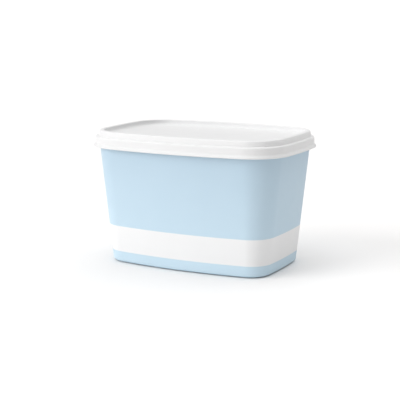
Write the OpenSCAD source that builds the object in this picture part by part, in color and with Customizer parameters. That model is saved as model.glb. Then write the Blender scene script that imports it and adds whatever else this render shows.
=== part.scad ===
// Two-litre ice cream tub, shut: a drafted, bow-sided tub under a push-on lid.
//
// Frame: millimetres, +Z up, origin at the middle of the standing plane, +X along
// the long sides. Every wall follows one outline, the mouth outline, which is the
// tub's outside at the level of the lid's lower edge. A section is drawn as u, the
// distance outside that outline, against z, and then carried round the outline.

/* [Tub] */
// Length of the tub outside, at the lid's lower edge
mouth_l = 184; // [150:1:260]
// Width of the tub outside, at the lid's lower edge
mouth_w = 125; // [100:1:180]
// Height of the wall, from the table to the lid's lower edge
wall_h = 108.5; // [60:0.1:160]
// Slope of the wall, in degrees off vertical
draft = 6; // [2:0.5:8]
// Radius of the upright corners at the foot of the wall
foot_corner_r = 19.3; // [16:0.1:24]
// Radius of the bow of the long sides
long_bow_r = 438; // [300:1:1200]
// Radius of the bow of the short sides
short_bow_r = 436; // [300:1:1200]
// Radius of the edge round the bottom
bottom_r = 3; // [2:0.1:7]
// Width of the flat of the foot ring
foot_w = 4; // [2:0.1:6]
// How far the foot ring stands in from the rounded bottom edge
foot_inset = 2; // [1:0.1:4]
// How far the foot ring lifts the rounded bottom edge off the table
foot_lift = 0.7; // [0.4:0.1:1.5]
// How far the bottom panel is raised above the table
foot_h = 1.2; // [0.6:0.1:3]
// Thickness of the tub's rim, which stands up inside the lid's rim
tub_rim_t = 1.2; // [0.8:0.1:2]

/* [Lid] */
// Thickness of the lid's sheet
lid_t = 1.2; // [0.9:0.1:1.5]
// How far the skirt stands outside the mouth outline
skirt_out = 4; // [3.2:0.1:7]
// Height from the lid's lower edge up to the ledge
skirt_h = 9.8; // [7.5:0.1:14]
// How far the lip stands out past the skirt
lip_out = 1.9; // [1.2:0.1:3]
// Radius of the lip's rounded edge
lip_r = 0.8; // [0.6:0.1:1.4]
// Height of the raised rim above the ledge
rim_h = 5.3; // [4:0.1:9]
// Depth of the sunk panel below the top of the rim
recess = 4.7; // [3:0.1:7]
// Radius of the rounded outer edges of the rim and the ledge
edge_r = 1.5; // [0.5:0.1:1.8]
// Radius of the rounded inner edge of the rim
inner_edge_r = 0.9; // [0.4:0.1:1.2]
// Radius of the hollow between the sunk panel and the rim
cove_r = 3; // [0.5:0.1:3.5]

/* [Snap fit] */
// Gap between the tub's rim and each side of the lid's rim, and over the snap ridge
fit_gap = 0.2; // [0.1:0.05:0.4]
// Gap between the tub's bead and the inside of the skirt
bead_gap = 0.7; // [0.4:0.1:1]
// Height of the bead's upright face
bead_h = 2.2; // [1.5:0.1:2.8]
// How far the lid's snap ridge reaches in under the bead
snap_bite = 0.4; // [0.2:0.1:0.6]

/* [Hidden] */
// Straight steps along each long side, short side and upright corner
LONG_STEPS = 8;
SHORT_STEPS = 4;
CORNER_STEPS = 10;
// Straight steps in each rounded edge of a section
EDGE_STEPS = 4;
LIP_STEPS = 5;
BOTTOM_STEPS = 7;
// How far each upright face of the lid leans, across its height
RIM_LEAN = 1.2;
RECESS_LEAN = 0.4;
SKIRT_LEAN = 0.2;
// Height of the slope that runs out from the skirt to the lip
FLARE_H = 1.6;

// Levels, from the lid's lower edge up
ledge_z = wall_h + skirt_h;
top_z = ledge_z + rim_h;
panel_z = top_z - recess;
shoulder_z = ledge_z - lid_t;
fill_z = panel_z - lid_t;
tub_rim_z = top_z - lid_t;

// The tub's rim, its two gaps and the lid's two sheets fill the width of the lid's rim
rim_w = tub_rim_t + 2 * (fit_gap + lid_t);
skirt_in = skirt_out - lid_t;
bead_out = skirt_in - bead_gap;
bead_z = shoulder_z - bead_h;

// The mouth outline: a wide arc along each side and a tight one at each corner
corner_r = foot_corner_r + wall_h * tan(draft);
long_c = [0, mouth_w / 2 - long_bow_r];
short_c = [mouth_l / 2 - short_bow_r, 0];

// A corner's centre is where two circles cross, one about the centre of each side's arc
long_reach = long_bow_r - corner_r;
short_reach = short_bow_r - corner_r;
gap = long_c - short_c;
along = (short_reach ^ 2 - long_reach ^ 2 + gap * gap) / (2 * norm(gap));
aside = sqrt(short_reach ^ 2 - along ^ 2);
corner_c = short_c + (along * gap + aside * [-gap[1], gap[0]]) / norm(gap);

// Directions, in degrees, of the seams between a corner and its two sides
to_short = atan2(corner_c[1] - short_c[1], corner_c[0] - short_c[0]);
to_long = atan2(corner_c[1] - long_c[1], corner_c[0] - long_c[0]);

// Unit vector at an angle
function heading(a) = [cos(a), sin(a)];

// Points round an arc, both ends included
function arc(c, r, from, to, steps) =
    [for (i = [0:steps]) c + r * heading(from + (to - from) * i / steps)];

// Stations round part of the outline, its last end left out: place and outward normal
function stations(c, r, from, to, steps) =
    [for (i = [0:steps - 1]) let (n = heading(from + (to - from) * i / steps)) [c + r * n, n]];

// The whole outline, from the right-hand side round by the back
OUTLINE = concat(
    stations(short_c, short_bow_r, -to_short, to_short, SHORT_STEPS),
    stations(corner_c, corner_r, to_short, to_long, CORNER_STEPS),
    stations(long_c, long_bow_r, to_long, 180 - to_long, LONG_STEPS),
    stations([-corner_c[0], corner_c[1]], corner_r, 180 - to_long, 180 - to_short, CORNER_STEPS),
    stations(-short_c, short_bow_r, 180 - to_short, 180 + to_short, SHORT_STEPS),
    stations(-corner_c, corner_r, 180 + to_short, 180 + to_long, CORNER_STEPS),
    stations(-long_c, long_bow_r, 180 + to_long, 360 - to_long, LONG_STEPS),
    stations([corner_c[0], -corner_c[1]], corner_r, 360 - to_long, 360 - to_short, CORNER_STEPS)
);

// The wall's place at a height: it leans out as it rises
function wall_u(z) = (z - wall_h) * tan(draft);

// A solid with the given (u, z) section all round, closed by flats at both ends of the section
module carry_round(section) {
    n = len(OUTLINE);
    last = (len(section) - 1) * n;
    points = [for (s = section) for (o = OUTLINE) concat(o[0] + s[0] * o[1], s[1])];
    bands = [
        for (ring = [0:n:last - n]) for (i = [0:n - 1]) let (next = (i + 1) % n)
            [ring + i, ring + n + i, ring + n + next, ring + next]
    ];
    first_flat = [for (i = [0:n - 1]) i];
    last_flat = [for (i = [n - 1:-1:0]) last + i];
    polyhedron(points, concat([first_flat], bands, [last_flat]));
}

// The tub's section: bottom panel, foot ring, wall, bead, shoulder, rim, then in to the filling
function tub_section() =
    let (bottom_z = foot_lift + bottom_r)
    let (bottom_c = [wall_u(bottom_z) - bottom_r / cos(draft), bottom_z])
    let (foot_out = bottom_c[0] - foot_inset)
    let (foot_in = foot_out - foot_w)
    let (bead_foot = bead_z - (bead_out - wall_u(bead_z)))
    concat(
        [
            [foot_in - foot_h, foot_h],
            [foot_in, 0],
            [foot_out, 0],
            [foot_out, foot_lift]
        ],
        arc(bottom_c, bottom_r, -90, -draft, BOTTOM_STEPS),
        [
            [wall_u(bead_foot), bead_foot],
            [bead_out, bead_z],
            [bead_out, shoulder_z],
            [-lid_t - fit_gap, shoulder_z],
            [-lid_t - fit_gap, tub_rim_z],
            [-lid_t - fit_gap - tub_rim_t, tub_rim_z],
            [-lid_t - fit_gap - tub_rim_t, fill_z]
        ]
    );

// The lid's section: under the panel, up inside the rim, down the skirt's inside, and back over the top
function lid_section() =
    let (recess_foot = -rim_w - RECESS_LEAN)
    let (cove = min(cove_r, recess - inner_edge_r - RECESS_LEAN))
    let (ridge_in = bead_out - snap_bite)
    let (ridge_z = bead_z - snap_bite - fit_gap)
    let (ridge_d = skirt_in - ridge_in)
    concat(
        [
            [recess_foot + lid_t, fill_z],
            [-rim_w + lid_t, tub_rim_z],
            [-lid_t, tub_rim_z],
            [RIM_LEAN - lid_t, shoulder_z],
            [skirt_in, shoulder_z],
            [skirt_in, ridge_z + ridge_d],
            [ridge_in, ridge_z],
            [ridge_in, ridge_z - ridge_d],
            [skirt_in, ridge_z - 2 * ridge_d],
            [skirt_in, wall_h]
        ],
        arc([skirt_out + lip_out - lip_r, wall_h + lip_r], lip_r, -90, 60, LIP_STEPS),
        [
            [skirt_out + SKIRT_LEAN, wall_h + 2 * lip_r + FLARE_H]
        ],
        arc([skirt_out - edge_r, ledge_z - edge_r], edge_r, 0, 90, EDGE_STEPS),
        [
            [RIM_LEAN, ledge_z]
        ],
        arc([-edge_r, top_z - edge_r], edge_r, 0, 90, EDGE_STEPS),
        arc([-rim_w + inner_edge_r, top_z - inner_edge_r], inner_edge_r, 90, 180, EDGE_STEPS),
        arc([recess_foot - cove, panel_z + cove], cove, 0, -90, EDGE_STEPS)
    );

// The filled tub, pale blue; its white band is print and has no thickness
module tub() {
    color("#d2e6f2") carry_round(tub_section());
}

// The white lid, in one sheet
module lid() {
    color("#f8f8f8") carry_round(lid_section());
}

tub();
lid();
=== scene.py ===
"""Looks of a shut two-litre ice cream tub: pale blue with a white printed band, under a white push-on lid."""

import math

import bpy
import numpy as np
from mathutils import Matrix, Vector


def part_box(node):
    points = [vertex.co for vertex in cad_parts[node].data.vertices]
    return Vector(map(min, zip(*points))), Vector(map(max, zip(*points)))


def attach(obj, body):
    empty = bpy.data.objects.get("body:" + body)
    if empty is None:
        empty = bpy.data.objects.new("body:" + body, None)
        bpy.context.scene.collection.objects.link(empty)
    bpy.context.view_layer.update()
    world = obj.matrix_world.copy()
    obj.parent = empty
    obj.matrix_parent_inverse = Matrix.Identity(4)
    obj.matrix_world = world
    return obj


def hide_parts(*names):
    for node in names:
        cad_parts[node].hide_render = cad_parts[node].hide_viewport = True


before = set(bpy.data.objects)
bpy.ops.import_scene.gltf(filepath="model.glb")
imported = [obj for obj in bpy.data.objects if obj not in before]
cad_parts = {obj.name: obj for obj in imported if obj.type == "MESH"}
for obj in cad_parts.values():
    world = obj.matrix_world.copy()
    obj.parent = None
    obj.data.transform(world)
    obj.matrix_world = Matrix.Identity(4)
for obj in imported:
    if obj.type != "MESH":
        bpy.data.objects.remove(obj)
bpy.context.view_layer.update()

MM = 0.001

# --- Sizes, in millimetres ----------------------------------------------------------------

# Outline: the bows of the long and short sides, and the upright corners at the wall's foot
LONG_BOW_R = 438.0
SHORT_BOW_R = 436.0
FOOT_CORNER_R = 19.3

# Tub: its wall's slope, rounded bottom edge, foot ring, raised bottom panel and snap bead
DRAFT = math.radians(6)
BOTTOM_R = 3.0
FOOT_W = 4.0
FOOT_INSET = 2.0
FOOT_LIFT = 0.7
PANEL_LIFT = 1.2
BEAD_H = 2.2

# Lid: its sheet, its skirt and lip, its raised rim, and how far each upright face leans
LID_SHEET = 1.2
SKIRT_OUT = 4.0
SKIRT_LEAN = 0.2
LIP_OUT = 1.9
LIP_R = 0.8
FLARE_H = 1.6
RIM_H = 5.3
RIM_W = 4.0
RIM_LEAN = 1.2
RECESS = 4.7
RECESS_LEAN = 0.4
EDGE_R = 1.5
INNER_EDGE_R = 0.9
COVE_R = 3.0
FIT_GAP = 0.2
SNAP_BITE = 0.4

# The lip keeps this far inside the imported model's box
LIP_SLACK = 0.05

# Roundings that only soften an edge
SHARP_R = 0.2
SOFT_R = 0.3
BLUNT_R = 0.4
FOOT_EDGE_R = 0.6
FLARE_R = 1.6

# How far the bottom panel domes up to its middle
PANEL_CROWN = 0.5

# Depths of the mould's grain, of the slow waves in each wall, and the soft edge of the print
GRAIN = 0.012
TUB_WAVES = 0.12
LID_WAVES = 0.10
PRINT_EDGE = 0.12

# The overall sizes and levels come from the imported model's boxes
tub_low, tub_high = np.array(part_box("tub")) / MM
lid_low, lid_high = np.array(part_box("lid")) / MM
wall_top = lid_low[2]
top_z = lid_high[2]
ledge_z = top_z - RIM_H
panel_z = top_z - RECESS
shoulder_z = ledge_z - LID_SHEET
mouth_half_l = lid_high[0] - SKIRT_OUT - LIP_OUT
mouth_half_w = lid_high[1] - SKIRT_OUT - LIP_OUT
corner_r = FOOT_CORNER_R + wall_top * math.tan(DRAFT)
skirt_in = SKIRT_OUT - LID_SHEET
bead_out = tub_high[0] - mouth_half_l

# The printed white band runs between these two heights
BAND_LOW = 0.1034 * wall_top
BAND_HIGH = 0.3287 * wall_top


# --- Surfaces -----------------------------------------------------------------------------

def heading(angle):
    """Unit vectors at the given angles: (cosine, sine)."""
    return np.stack([np.cos(angle), np.sin(angle)], axis=-1)


def mouth_outline():
    """The closed outline of the tub's mouth, as places and outward normals.

    It is eight arcs end to end, a wide one along each side and a tight one at each
    corner. Each point is its arc's centre plus the radius times a unit vector, and
    that vector is also the normal. A corner's centre is where two circles cross:
    each is about the centre of a side's arc, with the side's radius less the corner's.
    """
    long_c = np.array([0.0, mouth_half_w - LONG_BOW_R])
    short_c = np.array([mouth_half_l - SHORT_BOW_R, 0.0])
    long_reach = LONG_BOW_R - corner_r
    short_reach = SHORT_BOW_R - corner_r
    gap = long_c - short_c
    span = np.hypot(*gap)
    along = (short_reach**2 - long_reach**2 + span**2) / (2 * span)
    aside = math.sqrt(short_reach**2 - along**2)
    corner_c = short_c + (along * gap + aside * np.array([-gap[1], gap[0]])) / span
    to_short = math.atan2(*(corner_c - short_c)[::-1])
    to_long = math.atan2(*(corner_c - long_c)[::-1])
    half, full = math.pi, 2 * math.pi
    flip = np.array([-1.0, 1.0])
    arcs = [
        (short_c, SHORT_BOW_R, -to_short, to_short, 32),
        (corner_c, corner_r, to_short, to_long, 36),
        (long_c, LONG_BOW_R, to_long, half - to_long, 48),
        (corner_c * flip, corner_r, half - to_long, half - to_short, 36),
        (-short_c, SHORT_BOW_R, half - to_short, half + to_short, 32),
        (-corner_c, corner_r, half + to_short, half + to_long, 36),
        (-long_c, LONG_BOW_R, half + to_long, full - to_long, 48),
        (-corner_c * flip, corner_r, full - to_long, full - to_short, 36),
    ]
    normals = [heading(np.linspace(*span, endpoint=False)) for _, _, *span in arcs]
    places = [centre + radius * normal for (centre, radius, *_), normal in zip(arcs, normals)]
    return np.concatenate(places), np.concatenate(normals)


def rounded_line(corners, steps=8, hold=0.25):
    """A section line through (u, z, radius) corners, with a true arc at each one.

    At a corner the line turns by an angle t. The arc starts radius * tan(t / 2) short of
    the corner and its centre stands one radius to the side it turns to. Its points are
    the arc's first spoke turned by equal shares of t. Each straight run keeps a point
    close to both its ends, so that a flat face stays flat in its shading.
    """
    corners = np.array(corners, dtype=float)
    place, radius = corners[:, :2], corners[1:-1, 2:]
    run = np.diff(place, axis=0)
    length = np.linalg.norm(run, axis=1, keepdims=True)
    run = run / length
    before, after = run[:-1], run[1:]
    across = before[:, 0] * after[:, 1] - before[:, 1] * after[:, 0]
    turn = np.arctan2(across, (before * after).sum(axis=1))[:, None]
    short = radius * np.tan(np.abs(turn) / 2)
    side = np.sign(turn) * radius * np.stack([-before[:, 1], before[:, 0]], axis=1)
    start = place[1:-1] - short * before
    end = place[1:-1] + short * after
    spoke = -side
    share = np.linspace(0, 1, steps + 1)[None, :, None] * turn[:, None, :]
    cosine, sine = np.cos(share[..., 0]), np.sin(share[..., 0])
    turned = np.stack([
        cosine * spoke[:, :1] - sine * spoke[:, 1:],
        sine * spoke[:, :1] + cosine * spoke[:, 1:],
    ], axis=-1)
    arcs = (start + side)[:, None, :] + turned
    used = np.concatenate([[[0.0]], short]) + np.concatenate([short, [[0.0]]])
    spare = np.minimum(0.3 * (length - used), hold)
    lead_in = (start - spare[:-1] * before)[:, None, :]
    lead_out = (end + spare[1:] * after)[:, None, :]
    middle = np.concatenate([lead_in, arcs, lead_out], axis=1).reshape(-1, 2)
    return np.concatenate([place[:1], middle, place[-1:]])


def carried_round(section):
    """Rings of points: for each (u, z), the outline pushed out along its normals by u, at height z."""
    place, normal = mouth_outline()
    flat = place[None] + section[:, :1, None] * normal[None]
    height = np.broadcast_to(section[:, 1:, None], flat.shape[:2] + (1,))
    return np.concatenate([flat, height], axis=2)


def drawn_in(ring, crown, count=14):
    """Rings from a ring in to the middle: shares of it, that rise by crown times 1 minus share squared."""
    share = np.linspace(1, 0, count + 1)[1:-1, None]
    flat = ring[None, :, :2] * share[..., None]
    height = ring[None, :, 2] + crown * (1 - share**2)
    return np.concatenate([flat, height[..., None]], axis=2)


def closed_body(name, section, low_crown, high_crown):
    """One closed surface: the section carried round the outline, drawn in to a pole at both its ends."""
    wall = carried_round(section)
    low = drawn_in(wall[0], low_crown)[::-1]
    high = drawn_in(wall[-1], high_crown)
    rings = np.concatenate([low, wall, high])
    count, around = rings.shape[:2]
    poles = [[0.0, 0.0, wall[0, 0, 2] + low_crown], [0.0, 0.0, wall[-1, 0, 2] + high_crown]]
    points = np.concatenate([rings.reshape(-1, 3), poles]) * MM
    here = np.arange(around)
    beside = (here + 1) % around
    ring = (np.arange(count - 1) * around)[:, None]
    quads = np.stack([ring + here, ring + beside, ring + around + beside, ring + around + here], axis=-1)
    top = (count - 1) * around
    low_fan = np.stack([beside, here, np.full(around, count * around)], axis=-1)
    high_fan = np.stack([top + here, top + beside, np.full(around, count * around + 1)], axis=-1)
    faces = quads.reshape(-1, 4).tolist() + low_fan.tolist() + high_fan.tolist()
    mesh = bpy.data.meshes.new(name)
    mesh.from_pydata(points.tolist(), [], faces)
    mesh.polygons.foreach_set("use_smooth", np.ones(len(faces), dtype=bool))
    mesh.update()
    piece = bpy.data.objects.new(name, mesh)
    bpy.context.scene.collection.objects.link(piece)
    return piece


def wall_u(z):
    """The wall's distance outside the mouth outline at a height: it leans out as it rises."""
    return (z - wall_top) * math.tan(DRAFT)


def make_tub():
    """The filled tub: bottom panel, foot ring, drafted wall, bead, shoulder, rim, and the filling's top."""
    bottom_z = FOOT_LIFT + BOTTOM_R
    foot_out = wall_u(bottom_z) - BOTTOM_R / math.cos(DRAFT) - FOOT_INSET
    foot_in = foot_out - FOOT_W
    bead_z = shoulder_z - BEAD_H
    bead_foot = bead_z - (bead_out - wall_u(bead_z))
    rim_out = -LID_SHEET - FIT_GAP
    rim_in = -RIM_W + LID_SHEET + FIT_GAP
    fill_z = panel_z - LID_SHEET
    section = rounded_line([
        (foot_in - 2.5 * PANEL_LIFT, PANEL_LIFT, 0),
        (foot_in - PANEL_LIFT, PANEL_LIFT, FOOT_EDGE_R),
        (foot_in, 0, FOOT_EDGE_R),
        (foot_out, 0, SOFT_R),
        (foot_out, FOOT_LIFT, SOFT_R),
        (wall_u(FOOT_LIFT), FOOT_LIFT, BOTTOM_R),
        (wall_u(bead_foot), bead_foot, FOOT_EDGE_R),
        (bead_out, bead_z, BLUNT_R),
        (bead_out, shoulder_z, SOFT_R),
        (rim_out, shoulder_z, SHARP_R),
        (rim_out, top_z - LID_SHEET, SHARP_R),
        (rim_in, top_z - LID_SHEET, SHARP_R),
        (rim_in, fill_z, SOFT_R),
        (rim_in - 2 * LID_SHEET, fill_z, 0),
    ])
    return closed_body("tub_moulding", section, PANEL_CROWN, 0)


def make_lid():
    """The lid's sheet: under the panel and rim, down inside the skirt, round the lip, back over the top."""
    recess_foot = -RIM_W - RECESS_LEAN
    ridge_in = bead_out - SNAP_BITE
    ridge_z = shoulder_z - BEAD_H - SNAP_BITE - FIT_GAP
    ridge_d = skirt_in - ridge_in
    under_z = panel_z - LID_SHEET
    lip_u = SKIRT_OUT + LIP_OUT - LIP_SLACK
    section = rounded_line([
        (recess_foot - COVE_R, under_z, 0),
        (recess_foot + LID_SHEET, under_z, BLUNT_R),
        (-RIM_W + LID_SHEET, top_z - LID_SHEET, SHARP_R),
        (-LID_SHEET, top_z - LID_SHEET, SHARP_R),
        (RIM_LEAN - LID_SHEET, shoulder_z, SOFT_R),
        (skirt_in, shoulder_z, BLUNT_R),
        (skirt_in, ridge_z + ridge_d, SOFT_R),
        (ridge_in, ridge_z, SOFT_R),
        (ridge_in, ridge_z - ridge_d, SOFT_R),
        (skirt_in, ridge_z - 2 * ridge_d, SOFT_R),
        (skirt_in, wall_top, BLUNT_R),
        (lip_u, wall_top, 0.9 * LIP_R),
        (lip_u, wall_top + 1.8 * LIP_R, 0.8 * LIP_R),
        (SKIRT_OUT + SKIRT_LEAN, wall_top + 2 * LIP_R + FLARE_H, FLARE_R),
        (SKIRT_OUT, ledge_z, EDGE_R),
        (RIM_LEAN, ledge_z, FOOT_EDGE_R),
        (0, top_z, EDGE_R),
        (-RIM_W, top_z, INNER_EDGE_R),
        (recess_foot, panel_z, COVE_R),
        (recess_foot - 2 * COVE_R, panel_z, 0),
    ])
    return closed_body("lid_moulding", section, 0, 0)


# --- Materials ----------------------------------------------------------------------------

class Finish:
    """A node material: each call adds one node and joins its inputs."""

    def __init__(self, name):
        self.material = bpy.data.materials.new(name)
        self.material.use_nodes = True
        self.tree = self.material.node_tree
        self.shader = self.tree.nodes["Principled BSDF"]
        self.place = self.tree.nodes.new("ShaderNodeTexCoord").outputs["Object"]

    def node(self, kind, values=(), links=(), **settings):
        """One node: its settings, its fixed inputs as (name, value), its joined inputs as (name, output)."""
        new = self.tree.nodes.new(kind)
        for key, value in settings.items():
            setattr(new, key, value)
        for key, value in values:
            new.inputs[key].default_value = value
        for key, output in links:
            self.tree.links.new(output, new.inputs[key])
        return new

    def noise(self, scale, detail=3.0, roughness=0.5):
        """Soft random pattern on object coordinates; scale is in features per metre."""
        values = [("Scale", scale), ("Detail", detail), ("Roughness", roughness)]
        return self.node("ShaderNodeTexNoise", values, [("Vector", self.place)]).outputs["Fac"]

    def spread(self, source, low, high, start=0.3, end=0.7, ends="SMOOTHSTEP"):
        """A pattern stretched from its start..end range to low..high, with soft ends or straight ones."""
        values = [("From Min", start), ("From Max", end), ("To Min", low), ("To Max", high)]
        new = self.node("ShaderNodeMapRange", values, [("Value", source)], interpolation_type=ends)
        return new.outputs["Result"]

    def sums(self, operation, first, second):
        """One sum on two outputs, or on an output and a number."""
        new = self.node("ShaderNodeMath", operation=operation)
        for slot, value in enumerate((first, second)):
            if isinstance(value, (int, float)):
                new.inputs[slot].default_value = value
            else:
                self.tree.links.new(value, new.inputs[slot])
        return new.outputs["Value"]

    def blend(self, mask, first, second):
        """A colour between two, by a mask. A colour is three numbers or an output."""
        new = self.node("ShaderNodeMix", data_type="RGBA")
        self.tree.links.new(mask, new.inputs["Factor"])
        for slot, value in ((6, first), (7, second)):
            if isinstance(value, tuple):
                new.inputs[slot].default_value = (*value, 1.0)
            else:
                self.tree.links.new(value, new.inputs[slot])
        return new.outputs[2]

    def set(self, **values):
        """Fixed numbers on the shader's own sockets, with underscores for spaces."""
        for key, value in values.items():
            self.shader.inputs[key.replace("_", " ")].default_value = value

    def join(self, **links):
        """Outputs joined to the shader's own sockets, with underscores for spaces."""
        for key, output in links.items():
            self.tree.links.new(output, self.shader.inputs[key.replace("_", " ")])

    def plastic(self, gloss, bleed):
        """Constants of polypropylene: its gloss, and how much light bleeds a little way through it."""
        self.set(IOR=1.49, Specular_IOR_Level=gloss)
        self.set(Subsurface_Weight=bleed, Subsurface_Scale=1.5 * MM, Subsurface_Radius=(1.0, 1.0, 1.0))

    def moulded_skin(self, depth):
        """Fine grain of the mould, over the slow waves, of this depth, that a thin wall takes as it cools."""
        waves = self.node(
            "ShaderNodeBump",
            [("Strength", 1.0), ("Distance", depth * MM)],
            [("Height", self.noise(26, 1.0))],
        ).outputs["Normal"]
        skin = self.node(
            "ShaderNodeBump",
            [("Strength", 1.0), ("Distance", GRAIN * MM)],
            [("Height", self.noise(2600, 2.0)), ("Normal", waves)],
        ).outputs["Normal"]
        self.join(Normal=skin)


def tub_finish():
    """Pale blue moulded plastic with a white band printed round it; the blue is darkened towards its top as
    painted shade.
    """
    finish = Finish("tub_blue_plastic")
    height = finish.node("ShaderNodeSeparateXYZ", [], [("Vector", finish.place)]).outputs["Z"]
    above = finish.spread(height, 0, 1, (BAND_LOW - PRINT_EDGE) * MM, (BAND_LOW + PRINT_EDGE) * MM)
    below = finish.spread(height, 1, 0, (BAND_HIGH - PRINT_EDGE) * MM, (BAND_HIGH + PRINT_EDGE) * MM)
    band = finish.sums("MULTIPLY", above, below)
    mottle = finish.noise(45, 2.0)
    # Painted shade: the blue runs from its lighter colour at the base to a deeper one at the top, standing in
    # for shading the lamps here do not give.
    rise = finish.spread(height, 0, 1, 0, wall_top * MM, "LINEAR")
    low = finish.blend(mottle, (0.553, 0.703, 0.803), (0.571, 0.719, 0.817))
    high = finish.blend(mottle, (0.467, 0.600, 0.702), (0.485, 0.616, 0.716))
    blue = finish.blend(rise, low, high)
    white = finish.blend(mottle, (0.808, 0.808, 0.811), (0.828, 0.828, 0.830))
    finish.join(Base_Color=finish.blend(band, blue, white))
    worn = finish.spread(finish.noise(120, 4.0), 0.36, 0.44)
    # The print is a little glossier than the bare plastic
    finish.join(Roughness=finish.sums("SUBTRACT", worn, finish.sums("MULTIPLY", band, 0.05)))
    finish.moulded_skin(TUB_WAVES)
    finish.plastic(gloss=0.17, bleed=0.06)
    return finish.material


def lid_finish():
    """Natural white moulded plastic, a little cloudy, so light bleeds through its thin edges."""
    finish = Finish("lid_white_plastic")
    mottle = finish.noise(40, 2.0)
    finish.join(Base_Color=finish.blend(mottle, (0.740, 0.740, 0.742), (0.756, 0.756, 0.758)))
    finish.join(Roughness=finish.spread(finish.noise(110, 4.0), 0.38, 0.48))
    finish.moulded_skin(LID_WAVES)
    finish.plastic(gloss=0.3, bleed=0.10)
    return finish.material


def floor_finish():
    """Matt white studio paper, with a faint tooth."""
    finish = Finish("studio_paper")
    finish.join(Base_Color=finish.blend(finish.noise(3.0, 2.0), (0.882, 0.872, 0.866), (0.888, 0.878, 0.872)))
    finish.set(Roughness=1.0, Specular_IOR_Level=0.0)
    return finish.material


# --- Pieces -------------------------------------------------------------------------------

tub = make_tub()
tub.data.materials.append(tub_finish())
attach(tub, "root")
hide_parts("tub")

lid = make_lid()
lid.data.materials.append(lid_finish())
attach(lid, "root")
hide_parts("lid")


# --- Studio -------------------------------------------------------------------------------

def make_floor():
    """A wide flat square under the tub."""
    reach = 300.0
    mesh = bpy.data.meshes.new("studio_floor")
    corners = [(-reach, -reach, 0), (reach, -reach, 0), (reach, reach, 0), (-reach, reach, 0)]
    mesh.from_pydata(corners, [], [(0, 1, 2, 3)])
    piece = bpy.data.objects.new("studio_floor", mesh)
    bpy.context.scene.collection.objects.link(piece)
    piece.data.materials.append(floor_finish())


def facing(azimuth, elevation):
    """Unit vectors back to a viewer, to their right and up. Azimuth 0 looks at the front, 90 at the right."""
    a, e = math.radians(azimuth), math.radians(elevation)
    back = np.array([math.sin(a) * math.cos(e), -math.cos(a) * math.cos(e), math.sin(e)])
    right = np.array([math.cos(a), math.sin(a), 0.0])
    return back, right, np.cross(back, right)


def turned_to(piece, azimuth, elevation, place):
    """Puts a camera or a light at a place, looking back along the given direction."""
    back, right, up = facing(azimuth, elevation)
    turn = Matrix([[right[i], up[i], back[i], place[i]] for i in range(3)] + [[0, 0, 0, 1]])
    piece.matrix_world = turn


def make_camera():
    """A long lens, a little above the tub and to the right of its front, placed by shares of its height."""
    azimuth, elevation = 27.33, 10.747
    height = top_z * MM
    distance, aside, lower = 8.0900 * height, -0.0350 * height, -0.0706 * height
    middle = np.array([0.0, 0.0, 0.5343 * height])
    back, right, up = facing(azimuth, elevation)
    data = bpy.data.cameras.new("camera")
    data.sensor_width = 36.0
    data.lens = 96.46
    data.clip_start = 0.05
    data.clip_end = 1000.0
    camera = bpy.data.objects.new("camera", data)
    bpy.context.scene.collection.objects.link(camera)
    turned_to(camera, azimuth, elevation, middle + distance * back + aside * right + lower * up)
    bpy.context.scene.camera = camera


def make_soft_light(name, azimuth, elevation, strength, spread):
    """A distant softbox: even light from one direction, with soft-edged shadows. A wider spread is softer."""
    data = bpy.data.lights.new(name, "SUN")
    data.energy = strength
    data.angle = math.radians(spread)
    light = bpy.data.objects.new(name, data)
    bpy.context.scene.collection.objects.link(light)
    turned_to(light, azimuth, elevation, 2.0 * facing(azimuth, elevation)[0])


def make_surroundings(strength):
    """An even white room."""
    world = bpy.data.worlds.new("white_room")
    world.use_nodes = True
    world.node_tree.nodes["Background"].inputs["Color"].default_value = (1, 1, 1, 1)
    world.node_tree.nodes["Background"].inputs["Strength"].default_value = strength
    bpy.context.scene.world = world


make_floor()
make_camera()
make_soft_light("key_softbox", -42, 20, 1.81, 45)
make_soft_light("overhead_softbox", 0, 89, 0.72, 110)
make_soft_light("overhead_panel", 0, 89, 1.08, 60)
make_soft_light("back_softbox", 170, 35, 0.53, 70)
make_surroundings(0.343)
bpy.context.scene.view_settings.view_transform = "Standard"
